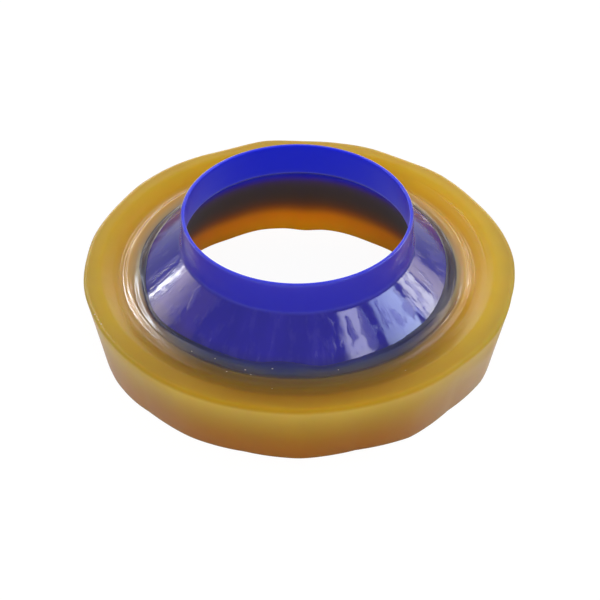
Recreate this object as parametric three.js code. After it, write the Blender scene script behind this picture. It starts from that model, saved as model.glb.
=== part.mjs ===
// Toilet pan seal: a ring of cast wax round the flared foot of a moulded plastic sleeve.
// Millimetres, +Z up. The origin is on the sleeve's axis, at the flat face of the wax.
// The seal lies as it does before it is fitted: flat wax face down, neck of the sleeve up.

import * as THREE from 'three';
import { mergeVertices } from 'three/addons/utils/BufferGeometryUtils.js';

// Sleeve: a short neck that opens into a straight flare
const neckLength = 10.1;
const neckEndRadius = 34.6;
const neckTaper = 0.5;
const flareRadius = 57;
const flareAngle = THREE.MathUtils.degToRad(49);
const sleeveWall = 1.2;
const neckRootRounding = 0.9;

// Wax ring: a tapered casting, higher at its outer shoulder than at the sleeve
const waxHeight = 22.3;
const waxOutsideFlare = 4.3;
const waxDraft = 4.5;
const shoulderRounding = 1.7;
const footRounding = 0.5;
const landWidth = 5.4;
const boreFootRadius = 45.4;
const boreEdgeRounding = 0.6;

// Going inwards over the flare, the wax sinks to a valley, rises to a bead and creeps up
// the plastic as a film. Depths are below the shoulder, widths are along the radius.
const valleyDepth = 2.4;
const beadDepth = 1.55;
const filmFootDepth = 1.45;
const filmEdgeDepth = 0.2;
const valleyWidth = 2.8;
const beadWidth = 2;
const filmWidth = 1.9;
const valleyRounding = 1.2;
const beadRounding = 0.8;
const filmEdge = 0.25;

// How far above the wax's shoulder its inner film ends and the sleeve's neck begins
const innerFilmRise = 5.4;
const neckRootRise = 9.4;

// The gap kept between the wax and the sleeve that it is cast on
const castingClearance = 0.3;

// The casting isn't centred on the sleeve: its outside lies to +X and its bore to -X
const outsideOffset = 0.25;
const boreOffset = 0.5;

// Soft wax pushed out or in by handling, in degrees round the ring and mm at each edge
const handlingMarks = [
  { at: 56, spread: 10, shoulder: -0.45, foot: -0.2 },
  { at: 92, spread: 6, shoulder: 0.55, foot: 0 },
  { at: 112, spread: 8, shoulder: -0.5, foot: -0.2 },
  { at: 234, spread: 10, shoulder: 0.4, foot: 0.1 },
  { at: 269, spread: 7, shoulder: 0, foot: 0.6 },
  { at: 283, spread: 7, shoulder: 0, foot: -0.4 },
  { at: 298, spread: 8, shoulder: 0.1, foot: 0.8 },
  { at: 315, spread: 8, shoulder: 0.1, foot: -0.5 },
  { at: 331, spread: 10, shoulder: 0.6, foot: 0.5 },
];

// Fineness of the round stretches
const roundSegments = 72;
const cornerSteps = 3;

// Roundings of a thin wall are limited by it
const wallRounding = sleeveWall * 0.4;
const rimRounding = Math.min(0.4, wallRounding);

// The flare's outer face runs from the neck's root, down and outwards
const neckRoot = new THREE.Vector2(neckEndRadius + neckTaper, waxHeight + neckRootRise);
const flareDirection = new THREE.Vector2(Math.sin(flareAngle), -Math.cos(flareAngle));
const flareNormal = new THREE.Vector2(Math.cos(flareAngle), Math.sin(flareAngle));
const flareLength = (flareRadius - neckRoot.x) / flareDirection.x;
const sealHeight = neckRoot.y + neckLength;

// The wax reaches past the hidden edge of the flare, and leans out towards its shoulder
const waxFootRadius = flareRadius + waxOutsideFlare;
const waxShoulderRadius = waxFootRadius + waxDraft;

const plasticMaterial = new THREE.MeshStandardMaterial({
  color: 0x2f2d9c,
  roughness: 0.22,
  metalness: 0,
});
const waxMaterial = new THREE.MeshStandardMaterial({
  color: 0xc79a3c,
  roughness: 0.5,
  metalness: 0,
});

// A point of the section, so far along the flare and so far out from its outer face
function besideFlare(distance, offset) {
  return neckRoot
    .clone()
    .addScaledVector(flareDirection, distance)
    .addScaledVector(flareNormal, offset);
}

// How far along the flare a point at that height lies, so far out from its outer face
function distanceAtHeight(height, offset) {
  return (height - neckRoot.y - offset * flareNormal.y) / flareDirection.y;
}

// Runs a section to a corner and round it, then towards the next point
function roundCorner(section, corner, next, setback) {
  const before = section.currentPoint.clone().sub(corner).setLength(setback).add(corner);
  const after = next.clone().sub(corner).setLength(setback).add(corner);
  section.lineTo(before.x, before.y);
  section.quadraticCurveTo(corner.x, corner.y, after.x, after.y);
}

// Where the sleeve's inner face turns from the neck into the flare
function innerNeckRoot() {
  const inner = besideFlare(0, -sleeveWall);
  const radius = neckRoot.x - sleeveWall;
  const drop = (radius - inner.x) / Math.tan(flareAngle);
  return new THREE.Vector2(radius, inner.y - drop);
}

function sleeveSection() {
  const rimOuter = new THREE.Vector2(neckEndRadius, sealHeight);
  const rimInner = new THREE.Vector2(neckEndRadius - sleeveWall, sealHeight);
  const rootInner = innerNeckRoot();
  const tipOuter = besideFlare(flareLength, 0);
  const tipInner = besideFlare(flareLength, -sleeveWall);
  const section = new THREE.Path();
  const start = rootInner.clone().lerp(rimInner, 0.5);
  section.moveTo(start.x, start.y);
  roundCorner(section, rootInner, tipInner, neckRootRounding);
  roundCorner(section, tipInner, tipOuter, wallRounding);
  roundCorner(section, tipOuter, neckRoot, wallRounding);
  roundCorner(section, neckRoot, rimOuter, neckRootRounding);
  roundCorner(section, rimOuter, rimInner, rimRounding);
  roundCorner(section, rimInner, start, rimRounding);
  section.closePath();
  return section.getPoints(cornerSteps);
}

// How far the wax stands out at one of its outer edges, at an angle round the ring
function outOfRound(edge, angle) {
  const fromMarks = handlingMarks.reduce((sum, mark) => {
    const away = THREE.MathUtils.euclideanModulo(
      THREE.MathUtils.radToDeg(angle) - mark.at + 180,
      360,
    ) - 180;
    return sum + mark[edge] * Math.exp(-((away / mark.spread) ** 2));
  }, 0);
  return outsideOffset * Math.cos(angle) + fromMarks;
}

// The wax's section at an angle round the ring: it wraps the flare on both faces
function waxSection(angle) {
  const boreRadius = boreFootRadius - boreOffset * Math.cos(angle);
  const boreFoot = new THREE.Vector2(boreRadius, 0);
  const foot = new THREE.Vector2(waxFootRadius + outOfRound('foot', angle), 0);
  const shoulder = new THREE.Vector2(
    waxShoulderRadius + outOfRound('shoulder', angle),
    waxHeight,
  );
  const landEnd = new THREE.Vector2(waxShoulderRadius - landWidth, waxHeight);
  const filmOffset = castingClearance + filmEdge;
  const outerFilmStart = distanceAtHeight(waxHeight - filmEdgeDepth, filmOffset);
  const outerFilm = besideFlare(outerFilmStart, filmOffset);
  const outerFilmFoot = besideFlare(outerFilmStart, castingClearance);
  const filmFoot = new THREE.Vector2(outerFilm.x + filmWidth, waxHeight - filmFootDepth);
  const bead = new THREE.Vector2(filmFoot.x + beadWidth, waxHeight - beadDepth);
  const valley = new THREE.Vector2(bead.x + valleyWidth, waxHeight - valleyDepth);
  const slotEnd = flareLength + castingClearance;
  const slotOuter = besideFlare(slotEnd, castingClearance);
  const innerOffset = -sleeveWall - castingClearance;
  const innerFilmStart = distanceAtHeight(waxHeight + innerFilmRise, innerOffset);
  const innerFilm = besideFlare(innerFilmStart, innerOffset);
  const slotInner = besideFlare(slotEnd, innerOffset);
  const section = new THREE.Path();
  const start = boreFoot.clone().lerp(foot, 0.5);
  section.moveTo(start.x, start.y);
  roundCorner(section, foot, shoulder, footRounding);
  roundCorner(section, shoulder, landEnd, shoulderRounding);
  section.lineTo(landEnd.x, landEnd.y);
  roundCorner(section, valley, bead, valleyRounding);
  roundCorner(section, bead, filmFoot, beadRounding);
  roundCorner(section, filmFoot, outerFilm, beadRounding);
  section.lineTo(outerFilm.x, outerFilm.y);
  section.lineTo(outerFilmFoot.x, outerFilmFoot.y);
  roundCorner(section, slotOuter, slotInner, wallRounding);
  roundCorner(section, slotInner, innerFilm, wallRounding);
  section.lineTo(innerFilm.x, innerFilm.y);
  roundCorner(section, boreFoot, start, boreEdgeRounding);
  section.closePath();
  return section.getPoints(cornerSteps);
}

// Turns a section round the Z axis. The section may differ from angle to angle.
function turnedSolid(sectionAt) {
  const geometry = new THREE.LatheGeometry(sectionAt(0), roundSegments);
  const points = geometry.parameters.points.length;
  const position = geometry.getAttribute('position');
  for (let column = 0; column <= roundSegments; column += 1) {
    const angle = (2 * Math.PI * (column % roundSegments)) / roundSegments;
    sectionAt(angle).forEach((point, row) => {
      const x = point.x * Math.cos(angle);
      const y = point.x * Math.sin(angle);
      position.setXYZ(column * points + row, x, y, point.y);
    });
  }
  geometry.deleteAttribute('normal');
  geometry.deleteAttribute('uv');
  const merged = mergeVertices(geometry);
  merged.computeVertexNormals();
  return merged;
}

function namedMesh(name, geometry, material) {
  const mesh = new THREE.Mesh(geometry, material);
  mesh.name = name;
  return mesh;
}

const panSeal = new THREE.Group();
panSeal.add(namedMesh('flanged_sleeve', turnedSolid(sleeveSection), plasticMaterial));
panSeal.add(namedMesh('wax_ring', turnedSolid(waxSection), waxMaterial));

export default panSeal;
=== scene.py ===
"""Dresses a toilet pan seal: a ring of cast amber wax round the flared foot of a blue sleeve.

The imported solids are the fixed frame. Each is replaced by a finer mesh turned from the same
section, with the marks, films and smears that the plain solids leave out. Metres, +Z up, with
the origin on the sleeve's axis at the flat face of the wax.
"""

import logging
import math
from collections.abc import Callable, Sequence
from dataclasses import dataclass, field
from enum import Enum

import bmesh
import bpy
from mathutils import Matrix, Vector, noise


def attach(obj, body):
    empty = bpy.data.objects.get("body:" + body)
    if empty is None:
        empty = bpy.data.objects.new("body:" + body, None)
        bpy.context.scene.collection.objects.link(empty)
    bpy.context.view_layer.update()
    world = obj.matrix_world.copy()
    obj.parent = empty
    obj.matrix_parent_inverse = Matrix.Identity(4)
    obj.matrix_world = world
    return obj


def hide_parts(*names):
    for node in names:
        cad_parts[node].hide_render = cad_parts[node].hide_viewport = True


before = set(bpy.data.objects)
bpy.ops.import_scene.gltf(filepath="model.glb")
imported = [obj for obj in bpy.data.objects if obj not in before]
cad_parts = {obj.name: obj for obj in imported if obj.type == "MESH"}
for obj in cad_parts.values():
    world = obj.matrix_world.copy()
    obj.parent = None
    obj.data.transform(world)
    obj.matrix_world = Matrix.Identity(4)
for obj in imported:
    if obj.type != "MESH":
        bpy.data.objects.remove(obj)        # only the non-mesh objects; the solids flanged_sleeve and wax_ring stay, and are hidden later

log = logging.getLogger("pan_seal")

MM = 0.001
CREASE = math.radians(50)
UNROLLED_AT = 41 * MM
WHITE = (1.0, 1.0, 1.0, 1.0)
BLACK = (0.0, 0.0, 0.0, 1.0)
ROOT_BODY = "root"
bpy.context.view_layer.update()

Colour = tuple[float, float, float, float]
Stops = tuple[tuple[float, Colour], ...]
Span = tuple[float, float]  # mostly where a look starts, and where it is full
Socket = bpy.types.NodeSocket


def ink(*levels: int) -> Colour:
    """Turns a colour as seen on a screen into the linear values that a shader takes.

    Args:
        *levels: Red, green and blue, from 0 to 255.

    Returns:
        The linear colour, with full alpha.
    """
    shares = [level / 255 for level in levels]
    linear = [x / 12.92 if x <= 0.04045 else ((x + 0.055) / 1.055) ** 2.4 for x in shares]
    return (*linear, 1.0)


def mm(first: float, second: float) -> Span:
    """Gives two lengths in metres from millimetres."""
    return (first * MM, second * MM)


def stops(*rows: tuple[float, int, int, int]) -> Stops:
    """Gives a ramp's stops, each from its place and its red, green and blue as seen on a screen."""
    return tuple((place, ink(*colour)) for place, *colour in rows)


def heading(azimuth: float, elevation: float) -> Vector:
    """Gives the unit vector towards an azimuth from +X and an elevation, both in degrees."""
    turn, rise = math.radians(azimuth), math.radians(elevation)
    return Vector((math.cos(turn) * math.cos(rise), math.sin(turn) * math.cos(rise), math.sin(rise)))


def turn_away(angle: float, centre: float) -> float:
    """Gives the signed difference of two angles in degrees, from -180 to 180."""
    return (angle - centre + 180) % 360 - 180


def swell(distance: float, spread: float) -> float:
    """Gives the height of a smooth bump of height 1 at a distance from its middle."""
    return math.exp(-((distance / spread) ** 2))


class Slot(Enum):
    """The material slots of the seal's pieces."""

    SLEEVE = "sleeve_plastic"
    WAX = "seal_wax"


@dataclass(frozen=True)
class Grain:
    """A noise: its features to the metre, its finer layers, and how much each coordinate is scaled."""

    scale: float
    detail: float = 3.0
    stretch: tuple[float, float, float] | None = None


class Sheet:
    """The node tree of one material or world, with short calls for the nodes that it uses."""

    def __init__(self, tree: bpy.types.NodeTree) -> None:
        """Empties the tree, ready for the finish's own nodes."""
        self.tree = tree
        self.tree.nodes.clear()

    def node(self, kind: str, **settings: object) -> bpy.types.Node:
        """Adds a node.

        Args:
            kind: The node's type, without its ShaderNode prefix.
            **settings: Properties to set on the node.

        Returns:
            The new node.
        """
        made = self.tree.nodes.new("ShaderNode" + kind)
        for name, value in settings.items():
            setattr(made, name, value)
        return made

    def feed(self, target: Socket, value: object) -> None:
        """Links a socket to an input, or sets the input to a plain value."""
        if isinstance(value, bpy.types.NodeSocket):
            self.tree.links.new(value, target)
        else:
            target.default_value = value

    def lined_up(self, made: bpy.types.Node, *values: object) -> Socket:
        """Feeds a node's inputs in their order, and gives its first output."""
        for target, value in zip(made.inputs, values):
            self.feed(target, value)
        return made.outputs[0]

    def filled(self, kind: str, inputs: dict[str, object]) -> Socket:
        """Adds a node, feeds inputs by their names, and gives its first output."""
        made = self.node(kind)
        for name, value in inputs.items():
            self.feed(made.inputs[name], value)
        return made.outputs[0]

    def maths(self, operation: str, *values: object) -> Socket:
        """Adds a Math node with an operation, such as MULTIPLY, and gives its result."""
        return self.lined_up(self.node("Math", operation=operation), *values)

    def product(self, first: object, *others: object) -> Socket:
        """Multiplies sockets or numbers."""
        for value in others:
            first = self.maths("MULTIPLY", first, value)
        return first

    def band(self, value: Socket, span: Span) -> Socket:
        """Goes smoothly from 0 to 1 as a value goes from a span's first end to its second."""
        made = self.node("MapRange", interpolation_type="SMOOTHSTEP")
        start, end = (0.0, 1.0) if span[0] < span[1] else (1.0, 0.0)
        return self.lined_up(made, value, min(span), max(span), start, end)

    def mask(self, *bands: tuple[Socket, Span]) -> Socket:
        """Multiplies bands, each given as its value and its span."""
        return self.product(*(self.band(value, span) for value, span in bands))

    def level(self, factor: Socket, first: object, second: object) -> Socket:
        """Goes evenly from a first value to a second as a factor goes from 0 to 1."""
        return self.lined_up(self.node("MapRange"), factor, 0.0, 1.0, first, second)

    def ramp(self, factor: Socket, rows: Stops) -> Socket:
        """Adds a colour ramp.

        Args:
            factor: Where on the ramp, from 0 to 1.
            rows: The ramp's places and colours, in order.

        Returns:
            The colour.
        """
        made = self.node("ValToRGB")
        made.color_ramp.interpolation = "B_SPLINE" if len(rows) > 3 else "LINEAR"
        elements = made.color_ramp.elements
        while len(elements) < len(rows):
            elements.new(0.5)
        for element, (place, colour) in zip(elements, rows):
            element.position = place
            element.color = colour
        self.feed(made.inputs[0], factor)
        return made.outputs[0]

    def blend(self, factor: object, first: object, second: object, kind: str = "MIX") -> Socket:
        """Mixes two colours.

        Args:
            factor: How much of the second, from 0 to 1.
            first: The first colour.
            second: The second colour.
            kind: The way of mixing, such as MIX or MULTIPLY.

        Returns:
            The mixed colour.
        """
        made = self.node("Mix", data_type="RGBA", blend_type=kind)
        colours = [socket for socket in made.inputs if socket.type == "RGBA"]
        self.feed(made.inputs[0], factor)
        self.feed(colours[0], first)
        self.feed(colours[1], second)
        return next(socket for socket in made.outputs if socket.type == "RGBA")

    def joined(self, *values: object) -> Socket:
        """Joins three values into one vector."""
        return self.lined_up(self.node("CombineXYZ"), *values)

    def grain(self, place: Socket, kind: Grain) -> Socket:
        """Adds a noise texture.

        Args:
            place: The coordinates that it is laid on.
            kind: How fine it is.

        Returns:
            The noise, from 0 to 1.
        """
        if kind.stretch is not None:
            place = self.lined_up(self.node("VectorMath", operation="MULTIPLY"), place, kind.stretch)
        return self.filled("TexNoise", {"Vector": place, "Scale": kind.scale, "Detail": kind.detail})

    def relief(self, height: Socket, distance: float, under: Socket | None = None) -> Socket:
        """Adds a Bump node.

        Args:
            height: The relief, from 0 to 1.
            distance: Its full height, in metres.
            under: A coarser relief that it lies on.

        Returns:
            The bent normal.
        """
        inputs = {"Distance": distance, "Height": height}
        if under is not None:
            inputs["Normal"] = under
        return self.filled("Bump", inputs)

    def mixed(self, factor: object, first: Socket, second: Socket) -> Socket:
        """Mixes two shaders, from only the first at 0 to only the second at 1."""
        return self.lined_up(self.node("MixShader"), factor, first, second)

    def finish(self, shader: Socket) -> None:
        """Joins a surface shader to the tree's output."""
        is_world = any(self.tree == world.node_tree for world in bpy.data.worlds)
        output = self.node("OutputWorld" if is_world else "OutputMaterial")
        self.feed(output.inputs["Surface"], shader)

    def seen_or_mirrored(self) -> Socket:
        """Gives 1 for rays from the camera, a mirror or a glass, and 0 for all others."""
        path = self.node("LightPath")
        glossy = self.maths("MAXIMUM", path.outputs["Is Glossy Ray"], path.outputs["Is Transmission Ray"])
        return self.maths("MAXIMUM", path.outputs["Is Camera Ray"], glossy)


def new_material(name: str) -> tuple[bpy.types.Material, Sheet]:
    """Makes a material and gives it with its empty sheet."""
    made = bpy.data.materials.new(name)
    made.use_nodes = True
    return made, Sheet(made.node_tree)


def new_object(name: str, data: bpy.types.ID | None) -> bpy.types.Object:
    """Puts a new object into the scene."""
    made = bpy.data.objects.new(name, data)
    bpy.context.collection.objects.link(made)
    return made


def flat_mesh(name: str, half_wide: float, half_high: float) -> bpy.types.Mesh:
    """Makes a flat, four-sided mesh about its middle."""
    mesh = bpy.data.meshes.new(name)
    signs = ((-1, -1), (1, -1), (1, 1), (-1, 1))
    mesh.from_pydata([Vector((x * half_wide, y * half_high, 0)) for x, y in signs], [], [(0, 1, 2, 3)])
    return mesh


@dataclass(frozen=True)
class RoundPlace:
    """Sockets that say where on a round piece a point lies: the ways that a finish follows it."""

    place: Socket
    radius: Socket
    height: Socket
    frontness: Socket
    rightness: Socket
    unrolled: Socket
    ringed: Socket

    @classmethod
    def on(cls, sheet: Sheet) -> "RoundPlace":
        """Adds the nodes that measure a point of the piece, in metres from its axis and foot."""
        place = sheet.node("TexCoord").outputs["Object"]
        apart = sheet.node("SeparateXYZ")
        sheet.feed(apart.inputs[0], place)
        x, y, height = apart.outputs
        squares = (sheet.maths("POWER", value, 2.0) for value in (x, y))
        radius = sheet.maths("SQRT", sheet.maths("ADD", *squares))
        frontness = sheet.product(sheet.maths("DIVIDE", y, radius), -1.0)
        rightness = sheet.maths("DIVIDE", x, radius)
        along = sheet.product(sheet.maths("ARCTAN2", x, sheet.product(y, -1.0)), UNROLLED_AT)
        unrolled = sheet.joined(along, 0.0, height)
        return cls(place, radius, height, frontness, rightness, unrolled, sheet.joined(along, 0.0, radius))


@dataclass
class Outline:
    """A closed section in the half plane beside the axis, as radius and height."""

    start: Vector
    points: list[Vector] = field(default_factory=list)

    def __post_init__(self) -> None:
        """Puts the first point down."""
        self.points.append(self.start)

    def line_to(self, end: Vector, steps: int) -> None:
        """Adds a straight run in even steps."""
        begin = self.points[-1]
        self.points.extend(begin.lerp(end, step / steps) for step in range(1, steps + 1))

    def round_corner(self, corner: Vector, towards: Vector, setback: float, run: int, steps: int = 6) -> None:
        """Runs to a corner and round it.

        Args:
            corner: The sharp corner.
            towards: The corner after it.
            setback: How far from the corner the rounding starts and ends.
            run: The number of steps of the straight run before it.
            steps: The number of steps of the rounding.
        """
        before = corner + (self.points[-1] - corner).normalized() * setback
        after = corner + (towards - corner).normalized() * setback
        self.line_to(before, run)
        for step in range(1, steps + 1):
            share = step / steps
            self.points.append(before.lerp(corner, share).lerp(corner.lerp(after, share), share))

    def flow_through(self, knots: Sequence[Vector], runs: Sequence[int]) -> None:
        """Adds a smooth curve from the last point through all the knots.

        Args:
            knots: The places that the curve passes.
            runs: The number of steps up to each knot.
        """
        line = [*self.points[-2:], *knots, 2 * knots[-1] - knots[-2]]
        for index, steps in enumerate(runs, 1):
            a, b, c, d = line[index - 1: index + 3]
            for step in range(1, steps + 1):
                t = step / steps
                bend = (2 * a - 5 * b + 4 * c - d) * t ** 2 + (3 * b - a - 3 * c + d) * t ** 3
                self.points.append((2 * b + (c - a) * t + bend) / 2)

    def close(self, steps: int) -> list[Vector]:
        """Runs back to the start and gives the points, each once."""
        self.line_to(self.start, steps)
        return self.points[:-1]


def turned_mesh(name: str, section_at: Callable[[float], list[Vector]], segments: int,
                carve: Callable[[Vector], Vector] | None = None) -> bpy.types.Object:
    """Turns a section round the axis into one closed, smooth mesh.

    Args:
        name: The object's name.
        section_at: Gives the section at an angle in degrees, always with as many points.
        segments: How many sections there are round the axis.
        carve: Moves each finished point, where the surface has small forms of its own.

    Returns:
        The new object, linked to the scene.
    """
    vertices: list[Vector] = []
    rows = 0
    for column in range(segments):
        degrees = 360 * column / segments
        turn = math.radians(degrees)
        section = section_at(degrees)
        rows = len(section)
        for point in section:
            placed = Vector((point.x * math.cos(turn), point.x * math.sin(turn), point.y))
            vertices.append(carve(placed) if carve else placed)
    faces = []
    for column in range(segments):
        here, there = column * rows, (column + 1) % segments * rows
        for row in range(rows):
            above = (row + 1) % rows
            faces.append((here + row, there + row, there + above, here + above))
    mesh = bpy.data.meshes.new(name)
    mesh.from_pydata(vertices, [], faces)
    mesh.shade_smooth()
    mesh.set_sharp_from_angle(angle=CREASE)
    return new_object(name, mesh)


def dress(piece: bpy.types.Object, material: bpy.types.Material, slot: Slot) -> None:
    """Gives a piece its material, and lets it ride with the seal."""
    piece.data.materials.append(material)
    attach(piece, ROOT_BODY)
    log.info("%s: %d vertices", piece.name, len(piece.data.vertices))


@dataclass(frozen=True)
class SleevePlastic:
    """Glossy blue polyethylene that lets some light through, thinly smeared with wax on its flare."""

    neck_blue: Colour = ink(52, 53, 183)
    # Painted light: the inner face has a brighter, deeper blue than the outer neck, standing in for light
    # shining through the thin wall.
    inner_blue: Colour = ink(2, 26, 208)
    flare_blue: Colour = ink(20, 10, 137)
    worn_blue: Colour = ink(28, 18, 147)
    foot_blue: Colour = ink(22, 18, 84)
    smear: Colour = ink(92, 86, 160)
    worn_patches: Span = (0.35, 0.7)
    foot_reach: Span = mm(44, 46.5)
    foot_share: float = 0.4
    smear_share: float = 0.14
    flare_start: Span = mm(-0.9, 0.6)
    smear_start: Span = mm(1, 6)
    inner_start: Span = mm(-0.7, -1.0)
    streaks: Grain = Grain(520, 4, (1, 1, 0.22))
    torn_streaks: Span = (0.5, 0.68)
    patches: Grain = Grain(110, 3, (1, 1, 0.5))
    torn_patches: Span = (0.46, 0.64)
    scuffs: Grain = Grain(260, 7, (1, 1, 0.8))
    scuffed: Span = (0.5, 0.64)
    scuff_share: float = 0.7
    ripples: Grain = Grain(75, 3)
    ripple_height: float = 0.16 * MM
    smear_height: float = 0.045 * MM
    specular_level: float = 0.3
    smooth_roughness: float = 0.07
    smeared_roughness: float = 0.36
    inner_roughness: float = 0.45
    depth: float = 2.5 * MM
    depth_by_channel: tuple[float, float, float] = (0.15, 0.2, 1.0)
    depth_weight: float = 0.5

    def material(self, sleeve: "FlangedSleeve") -> bpy.types.Material:
        """Makes the sleeve's material.

        Args:
            sleeve: The sleeve that it lies on, for the places of its smears.

        Returns:
            The material.
        """
        made, sheet = new_material("sleeve_plastic")
        at = RoundPlace.on(sheet)
        below_root = sheet.maths("SUBTRACT", sleeve.neck_root.y, at.height)
        on_flare = sheet.band(below_root, self.flare_start)
        spread = sheet.maths("MAXIMUM", sheet.product(below_root, math.tan(sleeve.flare_angle)), 0.0)
        outer = sheet.maths("ADD", spread, sleeve.neck_root.x)
        inside = sheet.band(sheet.maths("SUBTRACT", at.radius, outer), self.inner_start)
        streaks = sheet.grain(at.unrolled, self.streaks)
        patches = sheet.grain(at.unrolled, self.patches)
        torn = sheet.mask(
            (streaks, self.torn_streaks),
            (patches, self.torn_patches),
            (below_root, self.smear_start),
        )
        scuffs = sheet.band(sheet.grain(at.unrolled, self.scuffs), self.scuffed)
        smear = sheet.maths("MAXIMUM", torn, sheet.product(scuffs, self.scuff_share, on_flare))
        by_film = sheet.product(sheet.band(at.radius, self.foot_reach), self.foot_share)
        flare = sheet.blend(sheet.band(patches, self.worn_patches), self.flare_blue, self.worn_blue)
        flare = sheet.blend(by_film, flare, self.foot_blue)
        flare = sheet.blend(sheet.product(smear, self.smear_share), flare, self.smear)
        outside = sheet.blend(on_flare, self.neck_blue, flare)
        rough = sheet.level(smear, self.smooth_roughness, self.smeared_roughness)
        ripple = sheet.relief(sheet.grain(at.place, self.ripples), self.ripple_height)
        sheet.finish(sheet.filled("BsdfPrincipled", {
            "Base Color": sheet.blend(inside, outside, self.inner_blue),
            "Roughness": sheet.level(inside, rough, self.inner_roughness),
            "Normal": sheet.relief(smear, self.smear_height, ripple),
            "Specular IOR Level": self.specular_level,
            "Subsurface Weight": self.depth_weight,
            "Subsurface Radius": self.depth_by_channel,
            "Subsurface Scale": self.depth,
        }))
        return made


@dataclass(frozen=True)
class SealWax:
    """Translucent amber wax: darker where it is thin over the sleeve, with a painted glow where light comes
    through and painted light and shade on its top and walls.
    """

    # Painted light and shade: the top's colour is given twice, lit for the back and sides and shaded for the
    # front, and the two are blended by how far a point faces the front. Near the sleeve both also hold the
    # film's own blue-grey, where the wax is thin over the blue.
    lit_stops: Stops = stops(
        (46.2, 70, 63, 104), (47.2, 143, 120, 112), (48.6, 184, 134, 80), (50.5, 196, 146, 58),
        (53.5, 207, 149, 22), (56.0, 213, 163, 16), (60.0, 202, 170, 37), (62.5, 191, 162, 46),
        (65.0, 165, 145, 50),
    )
    shaded_stops: Stops = stops(
        (46.2, 64, 59, 122), (47.6, 76, 73, 108), (49.6, 79, 73, 82), (51.6, 98, 80, 48),
        (54.0, 138, 103, 36), (56.8, 141, 104, 29), (59.4, 132, 90, 9), (62.0, 154, 109, 8),
        (64.5, 168, 134, 24),
    )
    # Painted light: the bright orange low in the bore is a painted glow, standing in for light that shines
    # through the wax. Above it the colour turns darker over the hidden flare, and blue at the top, where the
    # film is thin over the sleeve.
    bore_glow_stops: Stops = stops(
        (0.0, 255, 160, 0), (8.0, 255, 150, 0), (11.5, 130, 66, 8), (15.0, 76, 51, 31),
        (20.0, 60, 50, 51), (24.0, 74, 58, 66), (25.8, 70, 44, 165), (27.6, 8, 28, 235),
    )
    wall_stops: Stops = stops(
        (0.0, 158, 92, 4), (8.0, 154, 100, 8), (15.0, 170, 134, 30), (21.0, 188, 166, 78),
    )
    # Painted sheen: the wall is blended towards this pale colour at its right and left sides, standing in for
    # the reflection of bright surroundings at a glancing view.
    painted_wall_sheen: Colour = ink(206, 182, 142)
    # Painted shade: the shoulder's edge at the back is darkened with this colour.
    back_rim_shade: Colour = ink(122, 100, 62)
    # Painted shade: a dark line in the crease where the film thins out on the flare, at the left and right.
    lap_crease_shade: Colour = ink(34, 34, 62)
    under_face: Colour = ink(186, 132, 30)
    cloud_tint: Colour = ink(150, 96, 24)
    crumb_pale: Colour = ink(206, 192, 164)
    crumb_dull: Colour = ink(170, 160, 150)
    top_reach: Span = mm(40, 66)
    shaded: Span = (0.05, 0.85)
    valley_lag: Span = mm(50, 54)
    land_lag: Span = mm(55, 61)
    lag: float = 0.15
    # Painted shade: how much darker the top is made towards the left, away from the stronger light on the
    # right.
    left_shade: float = 0.16
    # Where the painted wall sheen lies, by how far a point faces right or left, and how strong it is there.
    pale_right: Span = (0.3, 1.0)
    pale_right_share: float = 0.5
    pale_left: Span = (-0.3, -1.0)
    pale_left_share: float = 0.2
    wall_top: Span = mm(0.7, 2.2)
    wall_face: Span = mm(-0.8, -0.3)
    rim_reach: Span = mm(64.8, 65.5)
    rim_side: Span = (0.3, -0.1)
    rim_drop: Span = mm(2.4, 1.4)
    rim_shade_share: float = 0.25
    lap_thickness: Span = mm(0.46, 0.3)
    lap_reach: Span = mm(49, 48)
    lap_sides: Span = (0.35, 0.7)
    lap_shade_share: float = 0.85
    lap_gloss: float = 0.1
    under_edge: Span = mm(0.15, 0.03)
    bore_end: Span = mm(2, 1.1)
    film_end: Span = mm(4.5, 2.5)
    left_gloss: Span = (-0.45, -0.75)
    right_gloss: Span = (0.0, 0.5)
    right_gloss_back: Span = (-0.5, -0.15)
    right_gloss_front: Span = (0.34, 0.12)
    right_gloss_edge: Span = mm(46.3, 47.1)
    thread_side: Span = (0.6, 0.72)
    thread_inner: Span = mm(49.5, 49.9)
    thread_outer: Span = mm(51.2, 50.8)
    dull_shoulder: Span = mm(64.2, 65.4)
    clouds: Grain = Grain(70, 3)
    cloud_share: float = 0.22
    ripples: Grain = Grain(110, 2)
    ripple_height: float = 0.09 * MM
    strands: Grain = Grain(620, 4, (0.09, 1, 1))
    strand_height: float = 0.06 * MM
    pores: Grain = Grain(900, 3)
    crumb_pores: Grain = Grain(2500, 2)
    pore_height: float = 0.02 * MM
    land_roughness: float = 0.38
    film_roughness: float = 0.28
    dull_roughness: float = 0.65
    gloss_roughness: float = 0.2
    crumb_roughness: float = 0.5
    sheen_level: float = 0.12
    depth: float = 16 * MM
    depth_by_channel: tuple[float, float, float] = (1.0, 0.4, 0.06)
    depth_weight: float = 0.7

    def crumb_material(self) -> bpy.types.Material:
        """Makes the pale, dry wax of the specks."""
        made, sheet = new_material("wax_crumbs")
        pores = sheet.grain(sheet.node("TexCoord").outputs["Object"], self.crumb_pores)
        sheet.finish(sheet.filled("BsdfPrincipled", {
            "Base Color": sheet.blend(pores, self.crumb_pale, self.crumb_dull),
            "Normal": sheet.relief(pores, self.pore_height),
            "Roughness": self.crumb_roughness,
        }))
        return made

    def graded(self, sheet: Sheet, value: Socket, reach: Span, colours: Stops) -> Socket:
        """Colours by a distance. The stops are in millimetres, and lie in its reach."""
        start, width = reach[0], reach[1] - reach[0]
        share = sheet.maths("DIVIDE", sheet.maths("SUBTRACT", value, start), width)
        return sheet.ramp(share, [((stop * MM - start) / width, colour) for stop, colour in colours])

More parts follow.
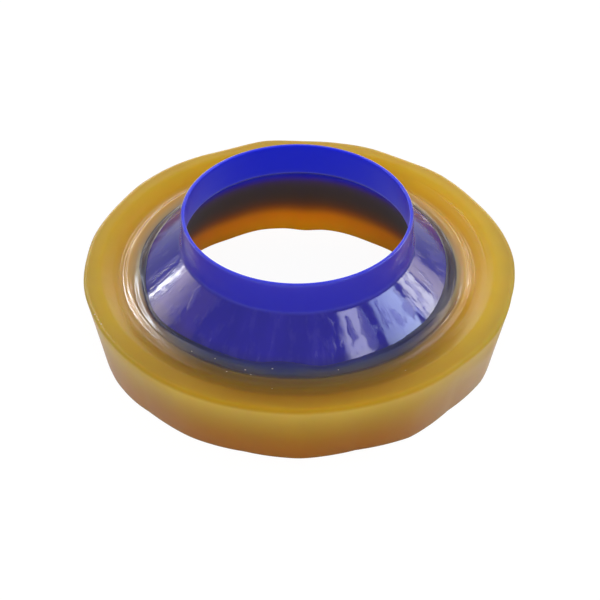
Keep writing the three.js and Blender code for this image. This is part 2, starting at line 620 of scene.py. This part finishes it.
    def top_colour(self, sheet: Sheet, at: RoundPlace) -> Socket:
        """Colours the top face with painted light and shade: lit at the back, shaded at the front and darker
        to the left.
        """
        lag = sheet.maths("ADD", sheet.band(at.radius, self.valley_lag), sheet.band(at.radius, self.land_lag))
        late = sheet.maths("SUBTRACT", at.frontness, sheet.product(lag, self.lag))
        lit = self.graded(sheet, at.radius, self.top_reach, self.lit_stops)
        shaded = self.graded(sheet, at.radius, self.top_reach, self.shaded_stops)
        top = sheet.blend(sheet.band(late, self.shaded), lit, shaded)
        leftness = sheet.maths("SUBTRACT", 1.0, at.rightness)
        return sheet.blend(sheet.product(leftness, self.left_shade / 2), top, BLACK)

    def wall_colour(self, sheet: Sheet, at: RoundPlace, height: float) -> Socket:
        """Colours the outer wall by its height, with a painted sheen at both sides."""
        right = sheet.product(sheet.band(at.rightness, self.pale_right), self.pale_right_share)
        left = sheet.product(sheet.band(at.rightness, self.pale_left), self.pale_left_share)
        wall = self.graded(sheet, at.height, (0, height), self.wall_stops)
        return sheet.blend(sheet.maths("ADD", right, left), wall, self.painted_wall_sheen)

    def bore_mask(self, sheet: Sheet, at: RoundPlace, ring: "WaxRing") -> Socket:
        """Gives 1 on the bore's leaning wall, and 0 outside it."""
        lean = (ring.bore_foot_radius - ring.inner_film_radius) / ring.inner_film_height
        foot_line = sheet.maths("MULTIPLY_ADD", at.height, lean, at.radius)
        return sheet.band(sheet.maths("SUBTRACT", foot_line, ring.bore_foot_radius), self.bore_end)

    def lap_mask(self, sheet: Sheet, at: RoundPlace, sleeve: "FlangedSleeve") -> Socket:
        """Gives 1 where the film thins out on the flare, at the seal's left and right."""
        outward = sleeve.outward
        over = sheet.maths("MULTIPLY_ADD", at.height, outward.y, -sleeve.neck_root.dot(outward))
        over = sheet.maths("MULTIPLY_ADD", at.radius, outward.x, over)
        sides = sheet.maths("ABSOLUTE", at.rightness)
        return sheet.mask((over, self.lap_thickness), (at.radius, self.lap_reach), (sides, self.lap_sides))

    def gloss_mask(self, sheet: Sheet, at: RoundPlace) -> Socket:
        """Gives how glossy the film is: at both sides, and along one thread of wax."""
        left = sheet.band(at.rightness, self.left_gloss)
        right = sheet.mask(
            (at.frontness, self.right_gloss_back),
            (at.frontness, self.right_gloss_front),
            (at.rightness, self.right_gloss),
            (at.radius, self.right_gloss_edge),
        )
        thread = sheet.mask(
            (at.rightness, self.thread_side),
            (at.radius, self.thread_inner),
            (at.radius, self.thread_outer),
        )
        return sheet.maths("MAXIMUM", sheet.maths("MAXIMUM", left, right), thread)

    def material(self, ring: "WaxRing") -> bpy.types.Material:
        """Makes the wax's material.

        Args:
            ring: The casting that it fills, for the places where its colour turns.

        Returns:
            The material.
        """
        made, sheet = new_material("seal_wax")
        at = RoundPlace.on(sheet)
        below_top = sheet.maths("SUBTRACT", ring.height, at.height)
        past_foot = sheet.maths("SUBTRACT", at.radius, ring.foot_radius)
        in_bore = self.bore_mask(sheet, at, ring)
        lap = self.lap_mask(sheet, at, ring.sleeve)
        on_wall = sheet.mask((below_top, self.wall_top), (past_foot, self.wall_face))
        # Painted shade on the shoulder's edge at the back.
        rim = sheet.mask(
            (at.radius, self.rim_reach),
            (below_top, self.rim_drop),
            (at.frontness, self.rim_side),
        )
        colour = sheet.blend(on_wall, self.top_colour(sheet, at), self.wall_colour(sheet, at, ring.height))
        colour = sheet.blend(sheet.product(rim, self.rim_shade_share), colour, self.back_rim_shade)
        # Painted shade: the dark line in the crease at the film's thin edge.
        colour = sheet.blend(sheet.product(lap, self.lap_shade_share), colour, self.lap_crease_shade)
        colour = sheet.blend(sheet.band(at.height, self.under_edge), colour, self.under_face)
        # Painted glow low in the bore, where light comes through the wax.
        bore = self.graded(sheet, at.height, (0, ring.inner_film_height), self.bore_glow_stops)
        colour = sheet.blend(in_bore, colour, bore)
        cloud = sheet.product(sheet.grain(at.place, self.clouds), self.cloud_share)
        film = sheet.band(sheet.maths("SUBTRACT", at.radius, ring.bead_radius), self.film_end)
        outside = sheet.maths("SUBTRACT", 1.0, in_bore)
        off_lap = sheet.level(lap, 1.0, self.lap_gloss)
        gloss = sheet.product(self.gloss_mask(sheet, at), film, outside, off_lap)
        dull = sheet.maths("MAXIMUM", in_bore, sheet.band(at.radius, self.dull_shoulder))
        rough = sheet.level(film, self.land_roughness, self.film_roughness)
        ripple = sheet.relief(sheet.grain(at.place, self.ripples), self.ripple_height)
        strands = sheet.product(sheet.grain(at.ringed, self.strands), gloss)
        strands = sheet.relief(strands, self.strand_height, ripple)
        normal = sheet.relief(sheet.grain(at.place, self.pores), self.pore_height, strands)
        sheet.finish(sheet.filled("BsdfPrincipled", {
            "Base Color": sheet.blend(cloud, colour, self.cloud_tint, "MULTIPLY"),
            "Roughness": sheet.level(dull, rough, self.dull_roughness),
            "Normal": normal,
            "Coat Weight": gloss,
            "Coat Roughness": self.gloss_roughness,
            "Coat Normal": normal,
            "Specular IOR Level": self.sheen_level,
            "Subsurface Weight": self.depth_weight,
            "Subsurface Radius": self.depth_by_channel,
            "Subsurface Scale": self.depth,
        }))
        return made


@dataclass
class FlangedSleeve:
    """The moulded sleeve: a short neck that opens into a straight flare, mostly hidden in the wax."""

    neck_length: float = 10.1 * MM
    neck_end_radius: float = 34.6 * MM
    neck_taper: float = 0.5 * MM
    neck_root_height: float = 31.7 * MM
    flare_radius: float = 57 * MM
    flare_angle: float = math.radians(49)
    wall: float = 1.2 * MM
    rim_rounding: float = 0.5 * MM
    root_rounding: float = 0.9 * MM
    segments: int = 360
    plastic: SleevePlastic = SleevePlastic()

    @property
    def neck_root(self) -> Vector:
        """Where the outer face turns from the neck into the flare."""
        return Vector((self.neck_end_radius + self.neck_taper, self.neck_root_height))

    @property
    def flare_length(self) -> float:
        """How long the flare is, from the neck's root to its hidden edge."""
        return (self.flare_radius - self.neck_root.x) / math.sin(self.flare_angle)

    @property
    def outward(self) -> Vector:
        """The direction straight out of the flare's outer face."""
        return Vector((math.cos(self.flare_angle), math.sin(self.flare_angle)))

    @property
    def tip_rounding(self) -> float:
        """How far the flare's hidden edge is rounded."""
        return self.wall * 0.4

    def beside_flare(self, distance: float, offset: float) -> Vector:
        """Gives a point of the section, so far along the flare and so far out from its outer face."""
        along = Vector((self.outward.y, -self.outward.x))
        return self.neck_root + along * distance + self.outward * offset

    def beside_at_height(self, height: float, offset: float, out: float = 0) -> Vector:
        """Gives a point so far out from the place beside the flare that lies at a height."""
        return self.beside_flare(self.distance_at_height(height, offset), offset + out)

    def distance_at_height(self, height: float, offset: float) -> float:
        """Gives how far along the flare a point at that height lies, so far out from its face."""
        lift = self.neck_root.y + offset * math.sin(self.flare_angle) - height
        return lift / math.cos(self.flare_angle)

    def section(self, degrees: float) -> list[Vector]:
        """Gives the sleeve's section, which is the same all round."""
        height = self.neck_root.y + self.neck_length
        rim_outer = Vector((self.neck_end_radius, height))
        rim_inner = Vector((self.neck_end_radius - self.wall, height))
        inner_radius = self.neck_root.x - self.wall
        foot = self.beside_flare(0, -self.wall)
        root_inner = Vector((inner_radius, foot.y - (inner_radius - foot.x) / math.tan(self.flare_angle)))
        tip_outer = self.beside_flare(self.flare_length, 0)
        tip_inner = self.beside_flare(self.flare_length, -self.wall)
        outline = Outline(root_inner.lerp(rim_inner, 0.5))
        outline.round_corner(root_inner, tip_inner, self.root_rounding, run=4)
        outline.round_corner(tip_inner, tip_outer, self.tip_rounding, run=14, steps=3)
        outline.round_corner(tip_outer, self.neck_root, self.tip_rounding, run=1, steps=3)
        outline.round_corner(self.neck_root, rim_outer, self.root_rounding, run=24, steps=8)
        outline.round_corner(rim_outer, rim_inner, self.rim_rounding, run=10, steps=8)
        outline.round_corner(rim_inner, outline.start, self.rim_rounding, run=1, steps=8)
        return outline.close(4)

    def build(self) -> bpy.types.Object:
        """Builds the sleeve and lets it stand for its plain solid."""
        piece = turned_mesh("sleeve", self.section, self.segments)
        dress(piece, self.plastic.material(self), Slot.SLEEVE)
        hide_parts("flanged_sleeve")
        return piece


@dataclass(frozen=True)
class Push:
    """A place where soft wax was pushed out or up at each edge, in degrees and millimetres."""

    at: float
    spread: float
    shoulder: float = 0
    foot: float = 0
    bore: float = 0
    film: float = 0


@dataclass(frozen=True)
class Corner:
    """A blunt corner between two flats that were pressed into the wax, in degrees and millimetres."""

    at: float
    shoulder: float
    foot: float
    reach: float = 15
    bluntness: float = 1.5

    def share(self, degrees: float) -> float:
        """Gives how much of the corner is left at an angle round the ring."""
        away = math.hypot(turn_away(degrees, self.at), self.bluntness)
        return max(0.0, 1 - away / self.reach)


@dataclass(frozen=True)
class FlowLine:
    """A fine raised line on the wax's top, along part of a circle, in millimetres and degrees."""

    radius: float
    height: float
    width: float
    middle: float
    reach: float


@dataclass
class WaxRing:
    """The casting: a tapered ring that wraps the flare on both faces and creeps up it as a film."""

    sleeve: FlangedSleeve
    height: float = 22.3 * MM
    foot_radius: float = 61.0 * MM
    draft: float = 4.7 * MM
    shoulder_rounding: float = 1.9 * MM
    foot_rounding: float = 0.6 * MM
    land_width: float = 5.4 * MM
    bore_foot_radius: float = 45.4 * MM
    bore_edge_rounding: float = 0.6 * MM
    bore_corner_rounding: float = 1.5 * MM
    bead_radius: float = 50.8 * MM
    film_drop: float = 0.3 * MM
    inner_film_height: float = 27.7 * MM
    inner_film_tip: float = 30.4 * MM
    bond: float = 0.05 * MM
    film_edge: float = 0.03 * MM
    outside_offset: float = 0.3 * MM
    bore_offset: float = 0.5 * MM
    wander: float = 0.16 * MM
    wall_from: Span = mm(60.8, 0.3)
    wall_waves: Vector = Vector((75, 75, 45))
    top_from: Span = mm(47.6, 19.3)
    top_waves: float = 95
    top_share: float = 0.6
    lap_height: float = 0.42 * MM
    lap_spread: float = 2.8 * MM
    lap_pitch: float = 1.4 * MM
    lap_turns: float = 2.4
    lap_front: float = 0.3
    segments: int = 384
    land_knots: tuple[Span, ...] = (
        mm(59.3, 0.16), mm(57.6, 0.85), mm(55.6, 1.8), mm(53.8, 2.35), mm(52.7, 2.15), mm(51.8, 1.5),
        mm(51.1, 1.3),
    )
    film_knots: tuple[Span, ...] = (mm(3.5, 1.75), mm(1.9, 1.1))
    film_swell: Span = mm(0.9, 0.12)
    top_runs: tuple[int, ...] = (7, 10, 12, 11, 8, 7, 6, 5, 6, 6, 5)
    ragged: tuple[tuple[float, float, float], ...] = ((4, 0.3, 0.4 * MM), (22, 4.1, 0.1 * MM))
    corners: tuple[Corner, ...] = (
        Corner(209, 0, 0.7), Corner(240, 0.2, 0.8), Corner(271, 0.2, 1.2),
        Corner(301, 0.2, 1.45, bluntness=0.6), Corner(332, 0.6, 1.1, bluntness=0.6),
        Corner(2, 0.5, 0.6),
    )
    marks: tuple[Push, ...] = (
        Push(95, 60, shoulder=-0.75), Push(32, 14, shoulder=-0.8),
        Push(58, 9, shoulder=-0.9, bore=-0.6), Push(87, 6, shoulder=-0.3, bore=-1.2),
        Push(99, 5, shoulder=0.7), Push(105, 6, bore=0.4),
        Push(114, 7, shoulder=-0.75, foot=-0.2), Push(120, 6, bore=-0.4),
        Push(156, 12, shoulder=-0.8), Push(178, 10, shoulder=-0.5, foot=-0.6),
        Push(202, 9, shoulder=-0.5), Push(218, 8, shoulder=-0.2, foot=0.3),
        Push(255, 12, foot=0.3), Push(265, 7, film=1.0), Push(279, 6, film=-0.4),
        Push(158, 24, film=2.4), Push(4, 30, film=1.8), Push(211, 15, film=-1.5),
    )
    flow_lines: tuple[FlowLine, ...] = (
        FlowLine(57.5, 0.34, 0.22, 22, 15), FlowLine(53.6, 0.24, 0.25, 4, 17),
        FlowLine(52.3, 0.14, 0.2, 2, 22), FlowLine(50.4, 0.42, 0.34, 331, 15),
        FlowLine(53.6, 0.2, 0.3, 172, 20), FlowLine(52.2, 0.16, 0.25, 182, 24),
    )
    wax: SealWax = SealWax()

    @property
    def inner_film_radius(self) -> float:
        """Where the bore's wall meets the sleeve."""
        return self.sleeve.beside_at_height(self.inner_film_height, -self.sleeve.wall).x

    def pushed(self, edge: str, degrees: float) -> float:
        """Gives how far handling moved one edge of the wax outwards, at an angle round the ring."""
        shares = (swell(turn_away(degrees, mark.at), mark.spread) for mark in self.marks)
        return MM * sum(getattr(mark, edge) * share for mark, share in zip(self.marks, shares))

    def out_of_round(self, edge: str, degrees: float) -> float:
        """Gives how far the wax stands out at its shoulder or foot, at an angle round the ring."""
        off_centre = self.outside_offset * math.cos(math.radians(degrees))
        flats = MM * sum(getattr(corner, edge) * corner.share(degrees) for corner in self.corners)
        return off_centre + flats + self.pushed(edge, degrees)

    def film_climb(self, degrees: float) -> float:
        """Gives how much further up the flare the film reaches at an angle round the ring."""
        turn = math.radians(degrees)
        ragged = sum(
            height * noise.noise(Vector((lobes * math.cos(turn), lobes * math.sin(turn), seed)))
            for lobes, seed, height in self.ragged
        )
        return ragged + self.pushed("film", degrees)

    def section(self, degrees: float) -> list[Vector]:
        """Gives the wax's section at an angle round the ring."""
        sleeve = self.sleeve
        off_centre = self.bore_offset * math.cos(math.radians(degrees))
        bore_foot = Vector((self.bore_foot_radius - off_centre + self.pushed("bore", degrees), 0))
        foot = Vector((self.foot_radius + self.out_of_round("foot", degrees), 0))
        shoulder_radius = self.foot_radius + self.draft
        shoulder = Vector((shoulder_radius + self.out_of_round("shoulder", degrees), self.height))
        land_end = Vector((shoulder_radius - self.land_width, self.height))
        offset = self.bond + self.film_edge
        film_start = sleeve.distance_at_height(self.height - self.film_drop, offset)
        film_start -= self.film_climb(degrees)
        film_top = sleeve.beside_flare(film_start, offset)
        film_under = sleeve.beside_flare(film_start, self.bond)
        knots = [Vector((radius, self.height - depth)) for radius, depth in self.land_knots]
        knots += [Vector((film_top.x + reach, self.height - depth)) for reach, depth in self.film_knots]
        knots += [sleeve.beside_flare(film_start + self.film_swell[0], offset + self.film_swell[1]), film_top]
        slot_end = sleeve.flare_length + self.bond
        inner_offset = -sleeve.wall - self.bond
        slot_outer = sleeve.beside_flare(slot_end, self.bond)
        slot_inner = sleeve.beside_flare(slot_end, inner_offset)
        inner_film = sleeve.beside_at_height(self.inner_film_height, inner_offset, -self.film_edge)
        outline = Outline(bore_foot.lerp(foot, 0.5))
        outline.round_corner(foot, shoulder, self.foot_rounding, run=6, steps=5)
        outline.round_corner(shoulder, land_end, self.shoulder_rounding, run=16, steps=9)
        outline.line_to(land_end, 5)
        outline.flow_through(knots, self.top_runs)
        outline.line_to(film_under, 1)
        outline.round_corner(slot_outer, slot_inner, sleeve.tip_rounding, run=8, steps=3)
        outline.round_corner(slot_inner, inner_film, sleeve.tip_rounding, run=1, steps=3)
        outline.line_to(sleeve.beside_at_height(self.inner_film_tip, inner_offset), 12)
        outline.line_to(sleeve.beside_at_height(self.inner_film_tip, inner_offset, -self.film_edge), 1)
        outline.round_corner(inner_film, bore_foot, self.bore_corner_rounding, run=4)
        outline.round_corner(bore_foot, outline.start, self.bore_edge_rounding, run=24, steps=5)
        return outline.close(5)

    def carve(self, point: Vector) -> Vector:
        """Adds the wander of hand-poured wax and its fine flow lines to a point of the surface."""
        radius = math.hypot(point.x, point.y)
        degrees = math.degrees(math.atan2(point.y, point.x))
        if radius > self.wall_from[0] and point.z > self.wall_from[1]:
            stretch = 1 + noise.noise(point * self.wall_waves) * self.wander / radius
            point = Vector((point.x * stretch, point.y * stretch, point.z))
        if radius > self.top_from[0] and point.z > self.top_from[1]:
            rise = noise.noise(point * self.top_waves) * self.wander * self.top_share
            turn = math.radians(degrees)
            around = Vector((0, math.cos(turn), math.sin(turn))) * self.lap_turns
            lap = noise.noise(Vector((radius / self.lap_pitch, 0, 0)) + around)
            lap *= self.lap_height * (self.lap_front + (1 - self.lap_front) * abs(math.cos(turn)))
            rise += lap * swell(radius - self.bead_radius, self.lap_spread)
            for line in self.flow_lines:
                along = swell(turn_away(degrees, line.middle), line.reach)
                rise += line.height * MM * along * swell(radius / MM - line.radius, line.width)
            point = point + Vector((0, 0, rise))
        return point

    def build(self) -> bpy.types.Object:
        """Builds the ring and lets it stand for its plain solid."""
        piece = turned_mesh("wax", self.section, self.segments, self.carve)
        dress(piece, self.wax.material(self), Slot.WAX)
        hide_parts("wax_ring")
        return piece


@dataclass(frozen=True)
class WaxCrumb:
    """One speck of pale wax, in degrees round the seal and millimetres from its axis."""

    at: float
    radius: float
    size: float


@dataclass
class WaxCrumbs:
    """Specks that lie on the film and the shoulder."""

    ring: WaxRing
    flatness: tuple[float, float, float, float] = (1.0, 0.7, 0.5, 1.0)
    dropped_from: float = 50 * MM
    crumbs: tuple[WaxCrumb, ...] = (
        WaxCrumb(252.5, 49.2, 0.26), WaxCrumb(247.2, 51.8, 0.22), WaxCrumb(255.0, 50.9, 0.24),
        WaxCrumb(261.5, 47.6, 0.24), WaxCrumb(262.6, 54.8, 0.2), WaxCrumb(303.0, 56.8, 0.22),
        WaxCrumb(241.0, 48.6, 0.2), WaxCrumb(232.0, 49.4, 0.18), WaxCrumb(284.0, 48.8, 0.18),
        WaxCrumb(202.0, 64.2, 0.3), WaxCrumb(206.5, 64.0, 0.26),
    )

    def build(self, face: bpy.types.Object) -> bpy.types.Object:
        """Builds the specks where each meets the wax below it.

        Args:
            face: The wax that they lie on.

        Returns:
            One mesh of all the specks.
        """
        shape = bmesh.new()
        for crumb in self.crumbs:
            above = heading(crumb.at, 0) * crumb.radius * MM
            above.z = self.dropped_from
            hit, place, _, _ = face.ray_cast(above, Vector((0, 0, -1)))
            if hit:
                lump = Matrix.Translation(place) @ Matrix.Diagonal(self.flatness)
                bmesh.ops.create_icosphere(shape, subdivisions=2, radius=crumb.size * MM, matrix=lump)
        mesh = bpy.data.meshes.new("wax_crumbs")
        shape.to_mesh(mesh)
        shape.free()
        mesh.shade_smooth()
        piece = new_object("wax_crumbs", mesh)
        dress(piece, self.ring.wax.crumb_material(), Slot.WAX)
        return piece


@dataclass(frozen=True)
class ProductCamera:
    """A long lens that looks down on the seal from the front."""

    target: Vector = Vector((0.835 * MM, 0, 7.363 * MM))
    elevation: float = 40.0
    distance: float = 0.59865
    lens: float = 116.41
    clip_start: float = 0.01

    def build(self) -> None:
        """Makes the camera and gives it to the scene."""
        lens = bpy.data.cameras.new("product_camera")
        lens.lens = self.lens
        lens.clip_start = self.clip_start
        camera = new_object("product_camera", lens)
        back = heading(-90, self.elevation)
        camera.location = self.target + back * self.distance
        camera.rotation_euler = (-back).to_track_quat("-Z", "Y").to_euler()
        bpy.context.scene.camera = camera


@dataclass(frozen=True)
class SoftLight:
    """A square soft lamp that faces the seal."""

    name: str
    azimuth: float
    elevation: float
    radiance: float
    side: float = 0.8
    distance: float = 1.3

    def build(self) -> None:
        """Makes the lamp."""
        lamp = bpy.data.lights.new(self.name, "AREA")
        lamp.size = self.side
        lamp.energy = self.radiance * math.pi * self.side ** 2
        holder = new_object(self.name, lamp)
        aim = heading(self.azimuth, self.elevation)
        holder.location = aim * self.distance
        holder.rotation_euler = aim.to_track_quat("Z", "Y").to_euler()
        holder.visible_glossy = False


@dataclass(frozen=True)
class WindowCard:
    """A bright card that only glossy surfaces see, as a window is seen in polished plastic.

    It is so many degrees wide and high as the seal sees it, and leans by turning in its own plane.
    """

    name: str
    azimuth: float
    elevation: float
    wide: float
    high: float
    radiance: float
    radiance_far: float | None = None
    lean: float = 0.0
    tint: Colour = WHITE
    softness: float = 0.15
    distance: float = 2.5

    def build(self) -> None:
        """Makes the card. Its near end is the one at the lower azimuth."""
        half_wide = self.distance * math.tan(math.radians(self.wide / 2))
        half_high = self.distance * math.tan(math.radians(self.high / 2))
        aim = heading(self.azimuth, self.elevation)
        east = heading(self.azimuth + 90, 0)
        north = aim.cross(east)
        lean = math.radians(self.lean)
        along = east * math.cos(lean) + north * math.sin(lean)
        across = aim.cross(along)
        mesh = flat_mesh(self.name, half_wide, half_high)
        card = new_object(self.name, mesh)
        card.matrix_world = Matrix((along, across, aim)).transposed().to_4x4()
        card.location = aim * self.distance
        mesh.materials.append(self.material(half_wide, half_high))
        for ray in ("camera", "diffuse", "transmission", "shadow"):
            setattr(card, "visible_" + ray, False)

    def material(self, half_wide: float, half_high: float) -> bpy.types.Material:
        """Makes the card's glow, which fades at its edges."""
        made, sheet = new_material(self.name)
        apart = sheet.node("SeparateXYZ")
        sheet.feed(apart.inputs[0], sheet.node("TexCoord").outputs["Object"])
        along = sheet.maths("DIVIDE", apart.outputs[0], half_wide)
        across = sheet.maths("DIVIDE", apart.outputs[1], half_high)
        edge = (1.0, 1 - self.softness)
        shape = sheet.mask((sheet.maths("ABSOLUTE", along), edge), (sheet.maths("ABSOLUTE", across), edge))
        far = self.radiance if self.radiance_far is None else self.radiance_far
        strength = sheet.level(sheet.maths("MULTIPLY_ADD", along, 0.5, 0.5), self.radiance, far)
        glow = sheet.filled("Emission", {"Color": self.tint, "Strength": strength})
        sheet.finish(sheet.mixed(shape, sheet.filled("BsdfTransparent", {}), glow))
        return made


@dataclass
class Studio:
    """A white table and soft light round the seal."""

    floor_side: float = 8.0
    floor_drop: float = 0.05 * MM
    floor_grey: Colour = (0.8, 0.8, 0.8, 1.0)
    shadow_share: float = 0.12
    floor_glow: float = 1.06
    ambient: float = 0.45
    lights: tuple[SoftLight, ...] = (
        SoftLight("light_right", 15, 42, 1.7), SoftLight("light_left", 165, 42, 1.1),
        SoftLight("light_back", 90, 48, 1.2), SoftLight("light_front", 270, 40, 4.3),
    )
    cards: tuple[WindowCard, ...] = (
        WindowCard("window_left_slit", 150, 16.3, 2.3, 12, 34),
        WindowCard("window_left_high", 139, 32, 34, 9, 12, 34, 47, ink(232, 240, 255), softness=0.3),
        WindowCard("window_right_high", 36, 36, 44, 9, 14, lean=-47, tint=ink(255, 244, 236), softness=0.3),
        WindowCard("window_left", 161.5, 24, 22, 14, 11, 2.6, lean=31, tint=ink(255, 240, 226)),
        WindowCard("window_left_far", 179, 34.5, 15, 14, 1.8, lean=32, tint=ink(255, 236, 226)),
        WindowCard("window_right_low", 32.7, 15.8, 14.7, 12, 9, 4, lean=-35, tint=ink(255, 243, 232)),
        WindowCard("window_right", 19.8, 24.5, 13.2, 14, 16, lean=-37),
        WindowCard("window_right_sky", 357.6, 36.8, 24.4, 14, 10, 22, lean=-27, tint=ink(208, 224, 255)),
        WindowCard("window_right_far", 324, 49.3, 18, 8, 13, 15, -18, ink(236, 236, 255), softness=0.6),
        WindowCard("window_back_left", 109, 10, 26, 18, 9, tint=ink(255, 246, 232)),
        WindowCard("window_back_right", 71, 10, 26, 18, 7, tint=ink(255, 246, 232)),
        WindowCard("window_back", 90, 18, 60, 12, 4, tint=ink(240, 246, 255), softness=0.6),
    )

    def build(self) -> None:
        """Makes the table, the world, the lamps and the cards."""
        self.build_floor()
        self.build_world()
        for light in self.lights:
            light.build()
        for card in self.cards:
            card.build()

    def build_floor(self) -> None:
        """Makes the white table, which keeps the seal's shadow."""
        mesh = flat_mesh("table_top", self.floor_side / 2, self.floor_side / 2)
        table = new_object("table_top", mesh)
        table.location.z = -self.floor_drop
        made, sheet = new_material("table_white")
        paper = sheet.filled("BsdfDiffuse", {"Color": self.floor_grey})
        glow = sheet.filled("Emission", {"Color": WHITE, "Strength": self.floor_glow})
        kept = sheet.mixed(self.shadow_share, glow, paper)
        sheet.finish(sheet.mixed(sheet.seen_or_mirrored(), paper, kept))
        mesh.materials.append(made)

    def build_world(self) -> None:
        """Makes soft light from all round, behind which the camera sees white."""
        world = bpy.data.worlds.new("studio")
        bpy.context.scene.world = world
        world.use_nodes = True
        sheet = Sheet(world.node_tree)
        around = sheet.filled("Background", {"Color": WHITE, "Strength": self.ambient})
        seen = sheet.filled("Background", {"Color": WHITE, "Strength": 1.0})
        sheet.finish(sheet.mixed(sheet.seen_or_mirrored(), around, seen))


def main() -> None:
    """Builds the camera, the seal's pieces and the studio, in that order."""
    logging.basicConfig(level=logging.INFO, format="%(name)s %(message)s")
    bpy.context.scene.view_settings.view_transform = "Standard"
    ProductCamera().build()
    sleeve = FlangedSleeve()
    sleeve.build()
    ring = WaxRing(sleeve)
    WaxCrumbs(ring).build(ring.build())
    Studio().build()


if __name__ == "__main__":
    main()
